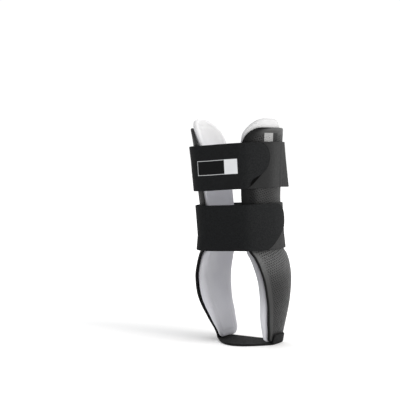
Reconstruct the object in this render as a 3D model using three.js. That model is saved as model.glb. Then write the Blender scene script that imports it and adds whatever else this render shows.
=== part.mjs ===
import * as THREE from 'three';

// Sizes in millimetres. +Z is up, -Y is the front of the ankle, +X is the inner (medial) side.
// The origin is on the underside of the heel strap, below the axis of the ankle.
const CLEARANCE = 0.3;
const SHELL_HEIGHT = 234;
const SHELL_REACH = 51.5;
const SHELL_DEPTH = 74;
const SHELL_WALL = 2.5;
const SHELL_CURL_RADIUS = 11;
const SHELL_TOP_CORNER = 25;
const SHELL_BACK_CORNER = 15;
const SHELL_FOOT_CORNER = 5;

const PAD_THICKNESS = 10;
const PAD_ABOVE_SHELL = 9.5;
const PAD_PAST_EDGE = 3;
const PAD_TOP_CORNER = 36;
const PAD_SEAT = 0.8;
const PAD_BACK_CORNER = 34;
const PAD_FOOT_CORNER = 7;
const PAD_FOOT_GAP = 0.3;

const STRAP_WIDTH = 50;
const STRAP_WALL = 1.5;
const BASE_WALL = 1.3;
const LAYER_GAP = 0.6;
const STRAP_END_CORNER = 6;

const HEEL_STRAP_WALL = 2.5;
const HEEL_TAB_HEIGHT = 11.6;
const HEEL_TAB_WIDTH = 23.5;
const HEEL_TAB_MIDDLE = 16.25;
const HEEL_PAD_WIDTH = 48;

// How squarely the heel strap's front edge spreads from its tabs to the middle: 2 is an arch.
const HEEL_PAD_SPREAD = { power: 2.4 };

// Outer face of a side shell, from its lower edge to its upper edge. up is a share of
// SHELL_HEIGHT, and reach and bend are shares of SHELL_REACH. The others are shares of
// SHELL_DEPTH: middle, front and back are measured along Y from the ankle's axis, and curl is
// the width of the front border that curls in, with front given as if it lay flat.
const SHELL_SECTIONS = [
  { up: 0.000, reach: 0.670, bend: 1.550, middle: 0.209, front: -0.006, back: 0.439, curl: 0.000 },
  { up: 0.040, reach: 0.716, bend: 1.360, middle: 0.176, front: -0.038, back: 0.432, curl: 0.000 },
  { up: 0.095, reach: 0.810, bend: 1.165, middle: 0.122, front: -0.138, back: 0.426, curl: 0.000 },
  { up: 0.202, reach: 0.984, bend: 1.006, middle: 0.038, front: -0.297, back: 0.430, curl: 0.000 },
  { up: 0.304, reach: 1.029, bend: 1.029, middle: 0.020, front: -0.385, back: 0.446, curl: 0.000 },
  { up: 0.372, reach: 0.990, bend: 0.990, middle: 0.020, front: -0.426, back: 0.446, curl: 0.000 },
  { up: 0.415, reach: 0.936, bend: 0.936, middle: 0.012, front: -0.453, back: 0.432, curl: 0.010 },
  { up: 0.437, reach: 0.880, bend: 0.880, middle: 0.004, front: -0.466, back: 0.426, curl: 0.040 },
  { up: 0.475, reach: 0.858, bend: 0.858, middle: -0.008, front: -0.490, back: 0.412, curl: 0.080 },
  { up: 0.543, reach: 0.858, bend: 0.858, middle: -0.034, front: -0.530, back: 0.385, curl: 0.095 },
  { up: 0.641, reach: 0.862, bend: 0.862, middle: -0.074, front: -0.578, back: 0.339, curl: 0.095 },
  { up: 0.693, reach: 0.872, bend: 0.872, middle: -0.097, front: -0.607, back: 0.318, curl: 0.095 },
  { up: 0.799, reach: 0.903, bend: 0.903, middle: -0.123, front: -0.646, back: 0.284, curl: 0.095 },
  { up: 0.893, reach: 0.930, bend: 0.930, middle: -0.138, front: -0.676, back: 0.269, curl: 0.095 },
  { up: 1.000, reach: 0.975, bend: 0.975, middle: -0.176, front: -0.738, back: 0.250, curl: 0.095 },
];

// Side pad: thick is its thickness as a share of PAD_THICKNESS, and past is how far its front
// edge passes the shell's as a share of PAD_PAST_EDGE, by height as a share of SHELL_HEIGHT.
const PAD_SECTIONS = [
  { up: 0.00, thick: 0.42, past: 1.0 },
  { up: 0.06, thick: 0.70, past: 1.0 },
  { up: 0.15, thick: 1.10, past: 1.0 },
  { up: 0.28, thick: 1.07, past: 1.0 },
  { up: 0.42, thick: 0.90, past: 0.8 },
  { up: 0.48, thick: 0.80, past: -0.2 },
  { up: 0.55, thick: 0.65, past: -0.4 },
  { up: 0.70, thick: 0.55, past: -0.4 },
  { up: 0.84, thick: 0.60, past: -0.2 },
  { up: 0.92, thick: 0.63, past: 0.8 },
  { up: 1.04, thick: 0.68, past: 1.0 },
];

// Roundness of the pads' edges, from 0 for square to 1 for fully round.
const PAD_EDGE = { roundness: 0.92 };

// End of a strap's tongue: how far its edge lies back from the tip, as a share of the tongue's
// run, by height across the strap from its lower edge.
const TONGUE_OUTLINE = [
  { up: 0.00, back: 0.93 },
  { up: 0.08, back: 0.74 },
  { up: 0.28, back: 0.40 },
  { up: 0.45, back: 0.11 },
  { up: 0.57, back: 0.02 },
  { up: 0.70, back: 0.00 },
  { up: 0.84, back: 0.08 },
  { up: 0.94, back: 0.24 },
  { up: 1.00, back: 0.42 },
];

// Each strap: its middle height as a share of SHELL_HEIGHT, and as shares of STRAP_WIDTH its own
// width, how much higher it runs on the inner side than in front, how far its lower edge flares
// out behind and how long its tongue runs. The other columns are angles in degrees round the
// ankle from the front, positive to the inner side.
const STRAPS = {
  upper: {
    up: 0.820, width: 0.97, rise: 0.06, flare: 0.136, tongueRun: 0.54,
    tongueTip: 72, outerEnd: -118, baseStart: 40, baseEnd: 296,
  },
  lower: {
    up: 0.5425, width: 0.99, rise: 0.04, flare: 0, tongueRun: 0.76,
    tongueTip: 107, outerEnd: -118, baseStart: 60, baseEnd: 296,
  },
};

// Turns in degrees at which a flare starts, is widest and has died out.
const FLARE = { start: 105, crest: 118, end: 200 };

// Shares of a strap's width at which its loop is fitted to the shells, at even steps.
const STRAP_SHARES = [0, 1 / 3, 2 / 3, 1];

// Shape of a strap's loop, with reach as a share of its side reach: flat across the front between
// two tight bends, and a squarish oval behind.
const LOOP_FRONT = { share: 0.83, tightness: 20 };
const LOOP_BACK = { share: 0.95, square: 2.05 };

const SHELL_FOOT = HEEL_STRAP_WALL + CLEARANCE;
const SHELL_TOP = SHELL_FOOT + SHELL_HEIGHT;
const RIGHT_ANGLE = Math.PI / 2;

// How much closer the shells' and pads' columns stand in front, from 0 for even steps.
const COLUMN_EASE = 0.45;

// Turn in radians each way over which the direction of a strap's loop is taken.
const SLOPE_STEP = 0.01;

// Smooth value of one column of a table at a share of the height.
function along(rows, column, up) {
  let index = 0;
  while (index < rows.length - 2 && up > rows[index + 1].up) index++;
  const [low, high] = [rows[index], rows[index + 1]];
  const slopeAt = (k) => {
    const before = rows[Math.max(k - 1, 0)];
    const after = rows[Math.min(k + 1, rows.length - 1)];
    return (after[column] - before[column]) / (after.up - before.up);
  };
  const span = high.up - low.up;
  const t = (up - low.up) / span;
  if (t > 1) return high[column] + slopeAt(index + 1) * (up - high.up);
  const rise = 3 * t * t - 2 * t * t * t;
  const leave = t * (1 - t) * (1 - t) * span * slopeAt(index);
  const arrive = t * t * (t - 1) * span * slopeAt(index + 1);
  return low[column] + (high[column] - low[column]) * rise + leave + arrive;
}

// A closed plate of columns by rows by layers, bent to shape. place gives the point at a share
// across, up and through, where through runs from the outer face to the inner one.
function bentPlate(columns, rows, layers, place) {
  const plate = new THREE.BoxGeometry(1, 1, 1, columns, rows, layers);
  const points = plate.attributes.position;
  for (let i = 0; i < points.count; i++) {
    const across = points.getX(i) + 0.5;
    const up = points.getY(i) + 0.5;
    const through = 0.5 - points.getZ(i);
    points.setXYZ(i, ...place(across, up, through));
  }
  plate.computeVertexNormals();
  return plate;
}

// Section of a shell's outer face at a height: side reach, bend radius, middle, the angles of
// its front and back edges round that bend, and the angle where its front border curls in.
function shellSection(height) {
  const up = (height - SHELL_FOOT) / SHELL_HEIGHT;
  const reach = along(SHELL_SECTIONS, 'reach', up) * SHELL_REACH;
  const bend = along(SHELL_SECTIONS, 'bend', up) * SHELL_REACH;
  const middle = along(SHELL_SECTIONS, 'middle', up) * SHELL_DEPTH;
  const edgeAngle = (column) => {
    return Math.asin((along(SHELL_SECTIONS, column, up) * SHELL_DEPTH - middle) / bend);
  };
  const front = edgeAngle('front');
  const curl = Math.max(along(SHELL_SECTIONS, 'curl', up), 0) * SHELL_DEPTH;
  return { reach, bend, middle, front, back: edgeAngle('back'), crease: front + curl / bend };
}

// Point of a shell's section at an angle, so far inside its outer face. Ahead of the crease the
// same arc length goes round the tighter curl.
function sectionPoint(section, angle, inside) {
  const { reach, bend, middle, crease } = section;
  const curled = Math.max(crease - angle, 0) * (bend / SHELL_CURL_RADIUS);
  const inner = curled > 0 ? bend - SHELL_CURL_RADIUS : 0;
  const turn = curled > 0 ? crease - curled : angle;
  const radius = bend - inner - inside;
  const x = reach - bend + inner * Math.cos(crease) + radius * Math.cos(turn);
  return [x, middle + inner * Math.sin(crease) + radius * Math.sin(turn)];
}

// Share of the way from a shell's front edge to its back one at which a column stands. Columns
// stand closer together in front, where the border curls.
function columnShare(across) {
  return across * (1 - COLUMN_EASE * (1 - across));
}

// How far a rounded corner has drawn the edge in, so far below or above its end.
function cornerInset(radius, distance) {
  if (distance >= radius) return 0;
  const rise = radius - Math.max(distance, 0);
  return radius - Math.sqrt(radius * radius - rise * rise);
}

// Heights of a plate's rows: even steps between its corners, and even turns round each corner.
function rowHeights(bottom, top, footCorner, topCorner, steps) {
  const heights = [];
  for (let i = 0; i < steps.foot; i++) {
    heights.push(bottom + footCorner * (1 - Math.cos((i / steps.foot) * RIGHT_ANGLE)));
  }
  const low = bottom + footCorner;
  const high = top - topCorner;
  for (let i = 0; i < steps.body; i++) heights.push(low + ((high - low) * i) / steps.body);
  for (let i = 0; i <= steps.top; i++) {
    heights.push(high + topCorner * Math.sin((i / steps.top) * RIGHT_ANGLE));
  }
  return heights;
}

// side is 1 for the inner (medial) piece and -1 for its mirror image.
function onSide(side, place) {
  return (across, up, through) => {
    const [x, y, z] = place(side > 0 ? across : 1 - across, up, through);
    return [side * x, y, z];
  };
}

function shellGeometry(side) {
  const steps = { foot: 2, body: 16, top: 5 };
  const heights = rowHeights(SHELL_FOOT, SHELL_TOP, SHELL_FOOT_CORNER, SHELL_TOP_CORNER, steps);
  const rows = heights.length - 1;
  const place = (across, up, through) => {
    const height = heights[Math.round(up * rows)];
    const section = shellSection(height);
    const foot = cornerInset(SHELL_FOOT_CORNER, height - SHELL_FOOT);
    const frontInset = foot + cornerInset(SHELL_TOP_CORNER, SHELL_TOP - height);
    const backInset = foot + cornerInset(SHELL_BACK_CORNER, SHELL_TOP - height);
    const front = section.front + frontInset / section.bend;
    const back = section.back - backInset / section.bend;
    const angle = front + (back - front) * columnShare(across);
    return [...sectionPoint(section, angle, SHELL_WALL * through), height];
  };
  return bentPlate(12, rows, 1, onSide(side, place));
}

function padGeometry(side) {
  const bottom = SHELL_FOOT + PAD_FOOT_GAP;
  const top = SHELL_TOP + PAD_ABOVE_SHELL;
  const middle = (bottom + top) / 2;
  const half = (top - bottom) / 2;
  const steps = { foot: 2, body: 15, top: 5 };
  const heights = rowHeights(bottom, top, PAD_FOOT_CORNER, PAD_TOP_CORNER, steps);
  const rows = heights.length - 1;
  const place = (across, up, through) => {
    const full = heights[Math.round(up * rows)];
    const share = (full - SHELL_FOOT) / SHELL_HEIGHT;
    const thick = along(PAD_SECTIONS, 'thick', share) * PAD_THICKNESS;
    const rim = (thick / 2) * (1 - Math.sqrt(1 - PAD_EDGE.roundness * (2 * through - 1) ** 2));
    const height = middle + ((full - middle) * (half - rim)) / half;
    const section = shellSection(height);
    const foot = cornerInset(PAD_FOOT_CORNER, full - bottom) + rim;
    const past = along(PAD_SECTIONS, 'past', share) * PAD_PAST_EDGE;
    const frontInset = foot + cornerInset(PAD_TOP_CORNER, top - full) - past;
    const backInset = foot + cornerInset(PAD_BACK_CORNER, top - full) - PAD_PAST_EDGE;
    const front = section.front + frontInset / section.bend;
    const back = section.back - backInset / section.bend;
    const angle = front + (back - front) * columnShare(across);
    const inside = SHELL_WALL + PAD_SEAT + thick * through;
    return [...sectionPoint(section, angle, inside), height];
  };
  return bentPlate(11, rows, 3, onSide(side, place));
}

// Reach of a strap's loop in a direction, for a loop of side reach 1. turn is in radians,
// counted from the front towards the inner side.
function loopReach(turn) {
  const ahead = Math.abs(Math.cos(turn));
  if (Math.cos(turn) > 0) {
    const { share, tightness } = LOOP_FRONT;
    return (1 + (ahead / share) ** tightness) ** (-1 / tightness);
  }
  const { share, square } = LOOP_BACK;
  return (Math.abs(Math.sin(turn)) ** square + (ahead / share) ** square) ** (-1 / square);
}

// Share of a strap's flare at a turn.
function flareShare(turn) {
  const degrees = (turn * 180) / Math.PI;
  if (degrees <= FLARE.start || degrees >= FLARE.end) return 0;
  if (degrees < FLARE.crest) return (degrees - FLARE.start) / (FLARE.crest - FLARE.start);
  const fall = (degrees - FLARE.crest) / (FLARE.end - FLARE.crest);
  return (1 + Math.cos(Math.PI * fall)) / 2;
}

// The least reach with which a loop about a centre goes round a shell at a height.
function leastReach(side, height, centerX, centerY) {
  const section = shellSection(height);
  const samples = 30;
  let reach = 0;
  for (let i = 0; i <= samples; i++) {
    const angle = section.front + ((section.back - section.front) * i) / samples;
    const [x, y] = sectionPoint(section, angle, 0);
    const [dx, dy] = [side * x - centerX, y - centerY];
    reach = Math.max(reach, Math.hypot(dx, dy) / loopReach(Math.atan2(dx, -dy)));
  }
  return reach;
}

// The least loop round both shells at a share of the strap's width. The strap lies higher on the
// inner shell than on the outer one, so the loop's middle is off the ankle's axis.
function leastLoop(strap, up) {
  const middle = SHELL_FOOT + strap.up * SHELL_HEIGHT;
  const height = middle + (up - 0.5) * strap.width * STRAP_WIDTH;
  const centerY = shellSection(height).middle;
  const inner = height + strap.rise * STRAP_WIDTH;
  const outer = height - strap.rise * STRAP_WIDTH;
  const centerX = (leastReach(1, inner, 0, centerY) - leastReach(-1, outer, 0, centerY)) / 2;
  const innerReach = leastReach(1, inner, centerX, centerY);
  const outerReach = leastReach(-1, outer, centerX, centerY);
  return { height, centerX, centerY, reach: Math.max(innerReach, outerReach) };
}

// The loop at any share of the strap's width, straight between a few least loops.
function strapLoop(strap, up) {
  const spans = STRAP_SHARES.length - 1;
  const index = Math.min(Math.floor(up * spans), spans - 1);
  const low = leastLoop(strap, STRAP_SHARES[index]);
  const high = leastLoop(strap, STRAP_SHARES[index + 1]);
  const mix = (name) => low[name] + (high[name] - low[name]) * (up * spans - index);
  return {
    height: mix('height'), centerX: mix('centerX'), centerY: mix('centerY'), reach: mix('reach'),
    rise: strap.rise * STRAP_WIDTH, flare: strap.flare * STRAP_WIDTH * (1 - up),
  };
}

// Point of a loop in a direction, so far outside it.
function loopPoint(loop, turn, outside) {
  const at = (angle) => {
    const reach = loop.reach * loopReach(angle);
    return [loop.centerX + reach * Math.sin(angle), loop.centerY - reach * Math.cos(angle)];
  };
  const [x, y] = at(turn);
  const [x0, y0] = at(turn - SLOPE_STEP);
  const [x1, y1] = at(turn + SLOPE_STEP);
  const length = Math.hypot(x1 - x0, y1 - y0);
  const height = loop.height + loop.rise * Math.sin(turn);
  const out = (outside + loop.flare * flareShare(turn)) / length;
  return [x + (y1 - y0) * out, y - (x1 - x0) * out, height];
}

// A band of a strap between two turns, which may depend on the share across the band. The plate
// runs up the band first and then back along it, so that its facets slope as a tongue does.
function bandGeometry(strap, shares, columns, inside, wall, startTurn, endTurn) {
  const rows = shares.length - 1;
  const place = (up, back, through) => {
    const share = shares[Math.round(up * rows)];
    const loop = strapLoop(strap, share);
    const end = endTurn(share, loop.reach);
    const turn = end + (startTurn(share, loop.reach) - end) * back;
    return loopPoint(loop, turn, inside + wall * (1 - through));
  };
  return bentPlate(rows, columns, 1, place);
}

const radians = (degrees) => (degrees * Math.PI) / 180;

// Black outer band: from its end on the outer side, across the front, to the tongue's tip.
function frontBandGeometry(strap) {
  const shares = [0, 0.08, 0.15, 0.22, 0.28, 0.36, 0.45, 0.57, 0.7, 0.84, 0.92, 1];
  const start = (share, reach) => {
    const corner = Math.min(share, 1 - share) * strap.width * STRAP_WIDTH;
    return radians(strap.outerEnd) + cornerInset(STRAP_END_CORNER, corner) / reach;
  };
  const end = (share, reach) => {
    const back = along(TONGUE_OUTLINE, 'back', share) * strap.tongueRun * STRAP_WIDTH;
    return radians(strap.tongueTip) - back / reach;
  };
  const inside = CLEARANCE + BASE_WALL + LAYER_GAP;
  return bandGeometry(strap, shares, 36, inside, STRAP_WALL, start, end);
}

// Grey inner band: from under the tongue, round the back, to under the outer band's other end.
function baseBandGeometry(strap) {
  const start = () => radians(strap.baseStart);
  const end = () => radians(strap.baseEnd);
  return bandGeometry(strap, STRAP_SHARES, 46, CLEARANCE, BASE_WALL, start, end);
}

// Heel strap: flat under the heel, folded round each shell's lower edge, with a tab up its face.
function heelStrapGeometry() {
  const half = [
    ...[0.14, 0.36, 0.56, 0.72, 0.87].map((flat) => ({ flat, fold: 0, rise: 0 })),
    ...[0, 1 / 3, 2 / 3, 1].map((fold) => ({ flat: 1, fold: fold * RIGHT_ANGLE, rise: 0 })),
    ...[0.5, 1].map((rise) => ({ flat: 1, fold: RIGHT_ANGLE, rise })),
  ];
  const stations = [...half.map((s) => ({ ...s, side: -1 })).reverse(),
    ...half.map((s) => ({ ...s, side: 1 }))];
  const columns = stations.length - 1;
  const tabBack = HEEL_TAB_MIDDLE + HEEL_TAB_WIDTH / 2;
  const tabFront = HEEL_TAB_MIDDLE - HEEL_TAB_WIDTH / 2;
  const padFront = tabBack - HEEL_PAD_WIDTH;
  const place = (across, up, through) => {
    const { flat, fold, rise, side } = stations[Math.round(across * columns)];
    const front = tabFront + (padFront - tabFront) * (1 - flat ** HEEL_PAD_SPREAD.power);
    const y = tabBack + (front - tabBack) * up;
    const height = SHELL_FOOT + (HEEL_TAB_HEIGHT - SHELL_FOOT) * rise;
    const section = shellSection(height);
    const angle = Math.asin((y - section.middle) / section.bend);
    const edge = sectionPoint(section, angle, 0)[0];
    const radius = CLEARANCE + HEEL_STRAP_WALL * (1 - through);
    const x = flat * edge + radius * Math.sin(fold);
    return [side * x, y, height - radius * Math.cos(fold)];
  };
  return bentPlate(columns, 5, 1, place);
}

const finishes = {
  shell: { color: 0x505153, roughness: 0.55, metalness: 0 },
  pad: { color: 0xeceff2, roughness: 0.85, metalness: 0 },
  strap: { color: 0x212123, roughness: 0.95, metalness: 0 },
  base: { color: 0x4b4b4d, roughness: 0.9, metalness: 0 },
  heel: { color: 0x1c1c1e, roughness: 0.9, metalness: 0 },
};

const brace = new THREE.Group();

function addPiece(name, geometry, finish) {
  const piece = new THREE.Mesh(geometry, new THREE.MeshStandardMaterial(finishes[finish]));
  piece.name = name;
  brace.add(piece);
}

addPiece('medial_shell', shellGeometry(1), 'shell');
addPiece('lateral_shell', shellGeometry(-1), 'shell');
addPiece('medial_pad', padGeometry(1), 'pad');
addPiece('lateral_pad', padGeometry(-1), 'pad');
addPiece('upper_strap', frontBandGeometry(STRAPS.upper), 'strap');
addPiece('lower_strap', frontBandGeometry(STRAPS.lower), 'strap');
addPiece('upper_strap_base', baseBandGeometry(STRAPS.upper), 'base');
addPiece('lower_strap_base', baseBandGeometry(STRAPS.lower), 'base');
addPiece('heel_strap', heelStrapGeometry(), 'heel');

export default brace;
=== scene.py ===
import math
from collections import namedtuple

import bpy
import numpy as np
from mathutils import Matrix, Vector


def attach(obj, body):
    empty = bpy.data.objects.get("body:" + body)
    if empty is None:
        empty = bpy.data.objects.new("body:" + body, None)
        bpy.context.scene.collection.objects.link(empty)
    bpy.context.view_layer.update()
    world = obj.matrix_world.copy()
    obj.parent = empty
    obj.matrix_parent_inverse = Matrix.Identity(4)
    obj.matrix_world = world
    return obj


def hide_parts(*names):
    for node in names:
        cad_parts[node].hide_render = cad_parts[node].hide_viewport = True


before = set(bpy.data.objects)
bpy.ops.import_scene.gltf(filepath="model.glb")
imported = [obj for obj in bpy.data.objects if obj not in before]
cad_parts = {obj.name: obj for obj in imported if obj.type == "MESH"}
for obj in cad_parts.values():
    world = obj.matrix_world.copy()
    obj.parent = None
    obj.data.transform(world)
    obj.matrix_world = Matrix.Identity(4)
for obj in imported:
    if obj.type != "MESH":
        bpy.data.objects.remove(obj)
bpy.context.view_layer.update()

# Camera. It stands more than a metre off, as high as the upper strap's top edge, and looks at
# the inner side of the ankle from in front, with the brace just right of the middle.
VIEW_AZIMUTH = math.radians(31)
VIEW_DISTANCE = 1.146
EYE_HEIGHT = 0.216
LOOK_HEIGHT = 0.158
LOOK_LEFT = 0.047
toward_camera = Vector((math.sin(VIEW_AZIMUTH), -math.cos(VIEW_AZIMUTH), 0))
camera_right = Vector((math.cos(VIEW_AZIMUTH), math.sin(VIEW_AZIMUTH), 0))
camera_data = bpy.data.cameras.new("camera")
camera_data.sensor_width = 36
camera_data.lens = 93.9
camera = bpy.data.objects.new("camera", camera_data)
bpy.context.scene.collection.objects.link(camera)
camera.location = toward_camera * VIEW_DISTANCE + Vector((0, 0, EYE_HEIGHT))
look_at = Vector((0, 0, LOOK_HEIGHT)) - camera_right * LOOK_LEFT
camera.rotation_euler = (look_at - camera.location).to_track_quat("-Z", "Y").to_euler()
bpy.context.scene.camera = camera
bpy.context.scene.view_settings.view_transform = "Standard"

# Floor and light. The floor is plain and near white and runs far behind the brace. A large soft
# lamp stands on the brace's inner side and a weaker one above. The sky lights the brace less
# from in front than from behind, and looks white from every side.
FLOOR_HALF = 6.0
floor_mesh = bpy.data.meshes.new("floor")
floor_mesh.from_pydata(
    [(-FLOOR_HALF, -FLOOR_HALF, 0), (FLOOR_HALF, -FLOOR_HALF, 0),
     (FLOOR_HALF, FLOOR_HALF, 0), (-FLOOR_HALF, FLOOR_HALF, 0)],
    [], [(0, 1, 2, 3)],
)
floor = bpy.data.objects.new("floor", floor_mesh)
bpy.context.scene.collection.objects.link(floor)
floor_material = bpy.data.materials.new("floor")
floor_material.use_nodes = True
floor_nodes, floor_links = floor_material.node_tree.nodes, floor_material.node_tree.links
floor_shader = floor_nodes["Principled BSDF"]
floor_shader.inputs["Base Color"].default_value = (0.93, 0.93, 0.93, 1)
floor_shader.inputs["Roughness"].default_value = 0.9
floor_shader.inputs["Specular IOR Level"].default_value = 0.1
floor_place = floor_nodes.new("ShaderNodeTexCoord")
floor_distance = floor_nodes.new("ShaderNodeVectorMath")
floor_distance.operation = "LENGTH"
floor_glow = floor_nodes.new("ShaderNodeMapRange")
floor_glow.interpolation_type = "SMOOTHSTEP"
floor_glow.inputs["From Min"].default_value = 0.05
floor_glow.inputs["From Max"].default_value = 0.7
floor_glow.inputs["To Min"].default_value = 0.12
floor_glow.inputs["To Max"].default_value = 0.6
floor_links.new(floor_place.outputs["Object"], floor_distance.inputs[0])
floor_links.new(floor_distance.outputs["Value"], floor_glow.inputs["Value"])
floor_links.new(floor_glow.outputs["Result"], floor_shader.inputs["Emission Strength"])
floor_shader.inputs["Emission Color"].default_value = (1, 1, 1, 1)
floor_mesh.materials.append(floor_material)


def add_area_lamp(name, place, aim, size, watts, tint):
    data = bpy.data.lights.new(name, "AREA")
    data.shape = "DISK"
    data.size = size
    data.energy = watts
    data.color = tint
    lamp = bpy.data.objects.new(name, data)
    bpy.context.scene.collection.objects.link(lamp)
    lamp.location = place
    lamp.rotation_euler = (Vector(aim) - Vector(place)).to_track_quat("-Z", "Y").to_euler()


add_area_lamp("side_lamp", place=(1.5, -0.1, 1.0), aim=(0, 0, 0.13), size=0.8, watts=21,
              tint=(1, 0.985, 0.965))
add_area_lamp("top_lamp", place=(0.2, -0.3, 1.9), aim=(0, 0, 0.1), size=1.2, watts=7,
              tint=(0.97, 0.98, 1))

SKY_FRONT = 0.34
SKY_WHITE = 1.05
world = bpy.data.worlds.new("studio")
world.use_nodes = True
bpy.context.scene.world = world
sky = world.node_tree.nodes
sky_links = world.node_tree.links
direction = sky.new("ShaderNodeTexCoord")
behind = sky.new("ShaderNodeVectorMath")
behind.operation = "DOT_PRODUCT"
behind.inputs[1].default_value = -toward_camera
sky_level = sky.new("ShaderNodeMapRange")
sky_level.inputs["From Min"].default_value = -0.6
sky_level.inputs["From Max"].default_value = 0.7
sky_level.inputs["To Min"].default_value = SKY_FRONT
sky_level.inputs["To Max"].default_value = SKY_WHITE
sky_links.new(direction.outputs["Generated"], behind.inputs[0])
sky_links.new(behind.outputs["Value"], sky_level.inputs["Value"])
sky_links.new(sky_level.outputs["Result"], sky["Background"].inputs["Strength"])
sky["Background"].inputs["Color"].default_value = (1, 1, 1, 1)
backdrop = sky.new("ShaderNodeBackground")
backdrop.inputs["Color"].default_value = (1, 1, 1, 1)
backdrop.inputs["Strength"].default_value = SKY_WHITE
seen = sky.new("ShaderNodeLightPath")
backdrop_mix = sky.new("ShaderNodeMixShader")
sky_links.new(seen.outputs["Is Camera Ray"], backdrop_mix.inputs["Fac"])
sky_links.new(sky["Background"].outputs["Background"], backdrop_mix.inputs[1])
sky_links.new(backdrop.outputs["Background"], backdrop_mix.inputs[2])
sky_links.new(backdrop_mix.outputs["Shader"], sky["World Output"].inputs["Surface"])

# Side shells. Each is one moulding of stiff dark grey plastic, curved round the ankle, with a
# smooth border round a field of small dimples. The outer shell is the inner one's mirror image,
# and both are stiff enough to stand on the heel strap by themselves.
MILLI = 0.001
SHELL_FOOT = 2.8 * MILLI
SHELL_HEIGHT = 234 * MILLI
SHELL_REACH = 51.5 * MILLI
SHELL_DEPTH = 74 * MILLI
SHELL_WALL = 2.5 * MILLI
SHELL_TOP = SHELL_FOOT + SHELL_HEIGHT
SHELL_TOP_CORNER = 25 * MILLI
SHELL_BACK_CORNER = 15 * MILLI
SHELL_FOOT_CORNER = 5 * MILLI
SHELL_CURL_RADIUS = 11 * MILLI
SHELL_BORDER = 6 * MILLI
BORDER_STEP = 1.5 * MILLI
BORDER_FADE = 3 * MILLI
FIELD_DEPTH = 0.15 * MILLI
# How strongly painted shade darkens the crease round the dimpled field.
CREASE_SHADE = 1.5
COLUMN_EASE = 0.45
DIMPLE_PITCH = 2.9 * MILLI
DIMPLE_ROW = 2.4 * MILLI
DIMPLE_RADIUS = 1.0 * MILLI
DIMPLE_FLAT = 0.35
DIMPLE_DEPTH = 0.5 * MILLI
DIMPLE_TILT = math.radians(14)
# up is a share of SHELL_HEIGHT, reach and bend are shares of SHELL_REACH, and the rest are shares
# of SHELL_DEPTH.
Section = namedtuple("Section", "up reach bend middle front back curl")
SHELL_SECTIONS = [
    Section(0.000, 0.670, 1.550, 0.209, -0.006, 0.439, 0.000),
    Section(0.040, 0.716, 1.360, 0.176, -0.038, 0.432, 0.000),
    Section(0.095, 0.810, 1.165, 0.122, -0.138, 0.426, 0.000),
    Section(0.202, 0.984, 1.006, 0.038, -0.297, 0.430, 0.000),
    Section(0.304, 1.029, 1.029, 0.020, -0.385, 0.446, 0.000),
    Section(0.372, 0.990, 0.990, 0.020, -0.426, 0.446, 0.000),
    Section(0.415, 0.936, 0.936, 0.012, -0.453, 0.432, 0.010),
    Section(0.437, 0.880, 0.880, 0.004, -0.466, 0.426, 0.040),
    Section(0.475, 0.858, 0.858, -0.008, -0.490, 0.412, 0.080),
    Section(0.543, 0.858, 0.858, -0.034, -0.530, 0.385, 0.095),
    Section(0.641, 0.862, 0.862, -0.074, -0.578, 0.339, 0.095),
    Section(0.693, 0.872, 0.872, -0.097, -0.607, 0.318, 0.095),
    Section(0.799, 0.903, 0.903, -0.123, -0.646, 0.284, 0.095),
    Section(0.893, 0.930, 0.930, -0.138, -0.676, 0.269, 0.095),
    Section(1.000, 0.975, 0.975, -0.176, -0.738, 0.250, 0.095),
]
# How wide the shell's front edge is darkened by painted shade, and over what width it fades, in
# millimetres.
EdgeShadeSection = namedtuple("EdgeShadeSection", "up dark fade")
EDGE_SHADE_SECTIONS = [
    EdgeShadeSection(0.00, 0.9, 0.7), EdgeShadeSection(0.43, 1.2, 0.7), EdgeShadeSection(0.52, 5.0, 6.0),
    EdgeShadeSection(0.63, 9.0, 12.5), EdgeShadeSection(0.72, 9.0, 12.5), EdgeShadeSection(0.84, 3.5, 17.0),
    EdgeShadeSection(0.93, 1.6, 19.0), EdgeShadeSection(1.00, 1.2, 17.0),
]
# The outer shell's painted edge shade falls to this share above these heights, in metres.
OUTER_EDGE_SHADE = 0.45
OUTER_EDGE_SHADE_START, OUTER_EDGE_SHADE_FULL = 0.11, 0.14
# Painted shade along the back edge: where it starts, where it is full, and how dark it is.
BACK_BORDER = 5 * MILLI
BACK_EDGE = 1 * MILLI
BACK_SHADE = 0.6
PATCH_MIDDLE = (-9.5 * MILLI, 226.4 * MILLI)
PATCH_HALF = (10.6 * MILLI, 4.6 * MILLI)
PATCH_PALE = 6.4 * MILLI
# A painted highlight in a band round the ankle bulge, and one along the top edge away from the
# front.
HIGHLIGHT_HEIGHT = 96 * MILLI
HIGHLIGHT_SPREAD = 17 * MILLI
TOP_HIGHLIGHT_WIDTH = 3 * MILLI
TOP_EDGE = 0.5 * MILLI
TOP_HIGHLIGHT = 0.7
TOP_HIGHLIGHT_START, TOP_HIGHLIGHT_FULL = 2 * MILLI, 9 * MILLI
Shape = namedtuple("Shape", "reach bend middle front back crease")


def along(rows, column, up):
    """Smooth value of one column of a table at a share of the height."""
    index = 0
    while index < len(rows) - 2 and up > rows[index + 1].up:
        index += 1
    low, high = rows[index], rows[index + 1]

    def slope(k):
        before, after = rows[max(k - 1, 0)], rows[min(k + 1, len(rows) - 1)]
        return (getattr(after, column) - getattr(before, column)) / (after.up - before.up)

    span = high.up - low.up
    t = (up - low.up) / span
    start, end = getattr(low, column), getattr(high, column)
    if t > 1:
        return end + slope(index + 1) * (up - high.up)
    rise = 3 * t**2 - 2 * t**3
    bow = t * (1 - t) ** 2 * slope(index) - t**2 * (1 - t) * slope(index + 1)
    return start + (end - start) * rise + span * bow


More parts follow.
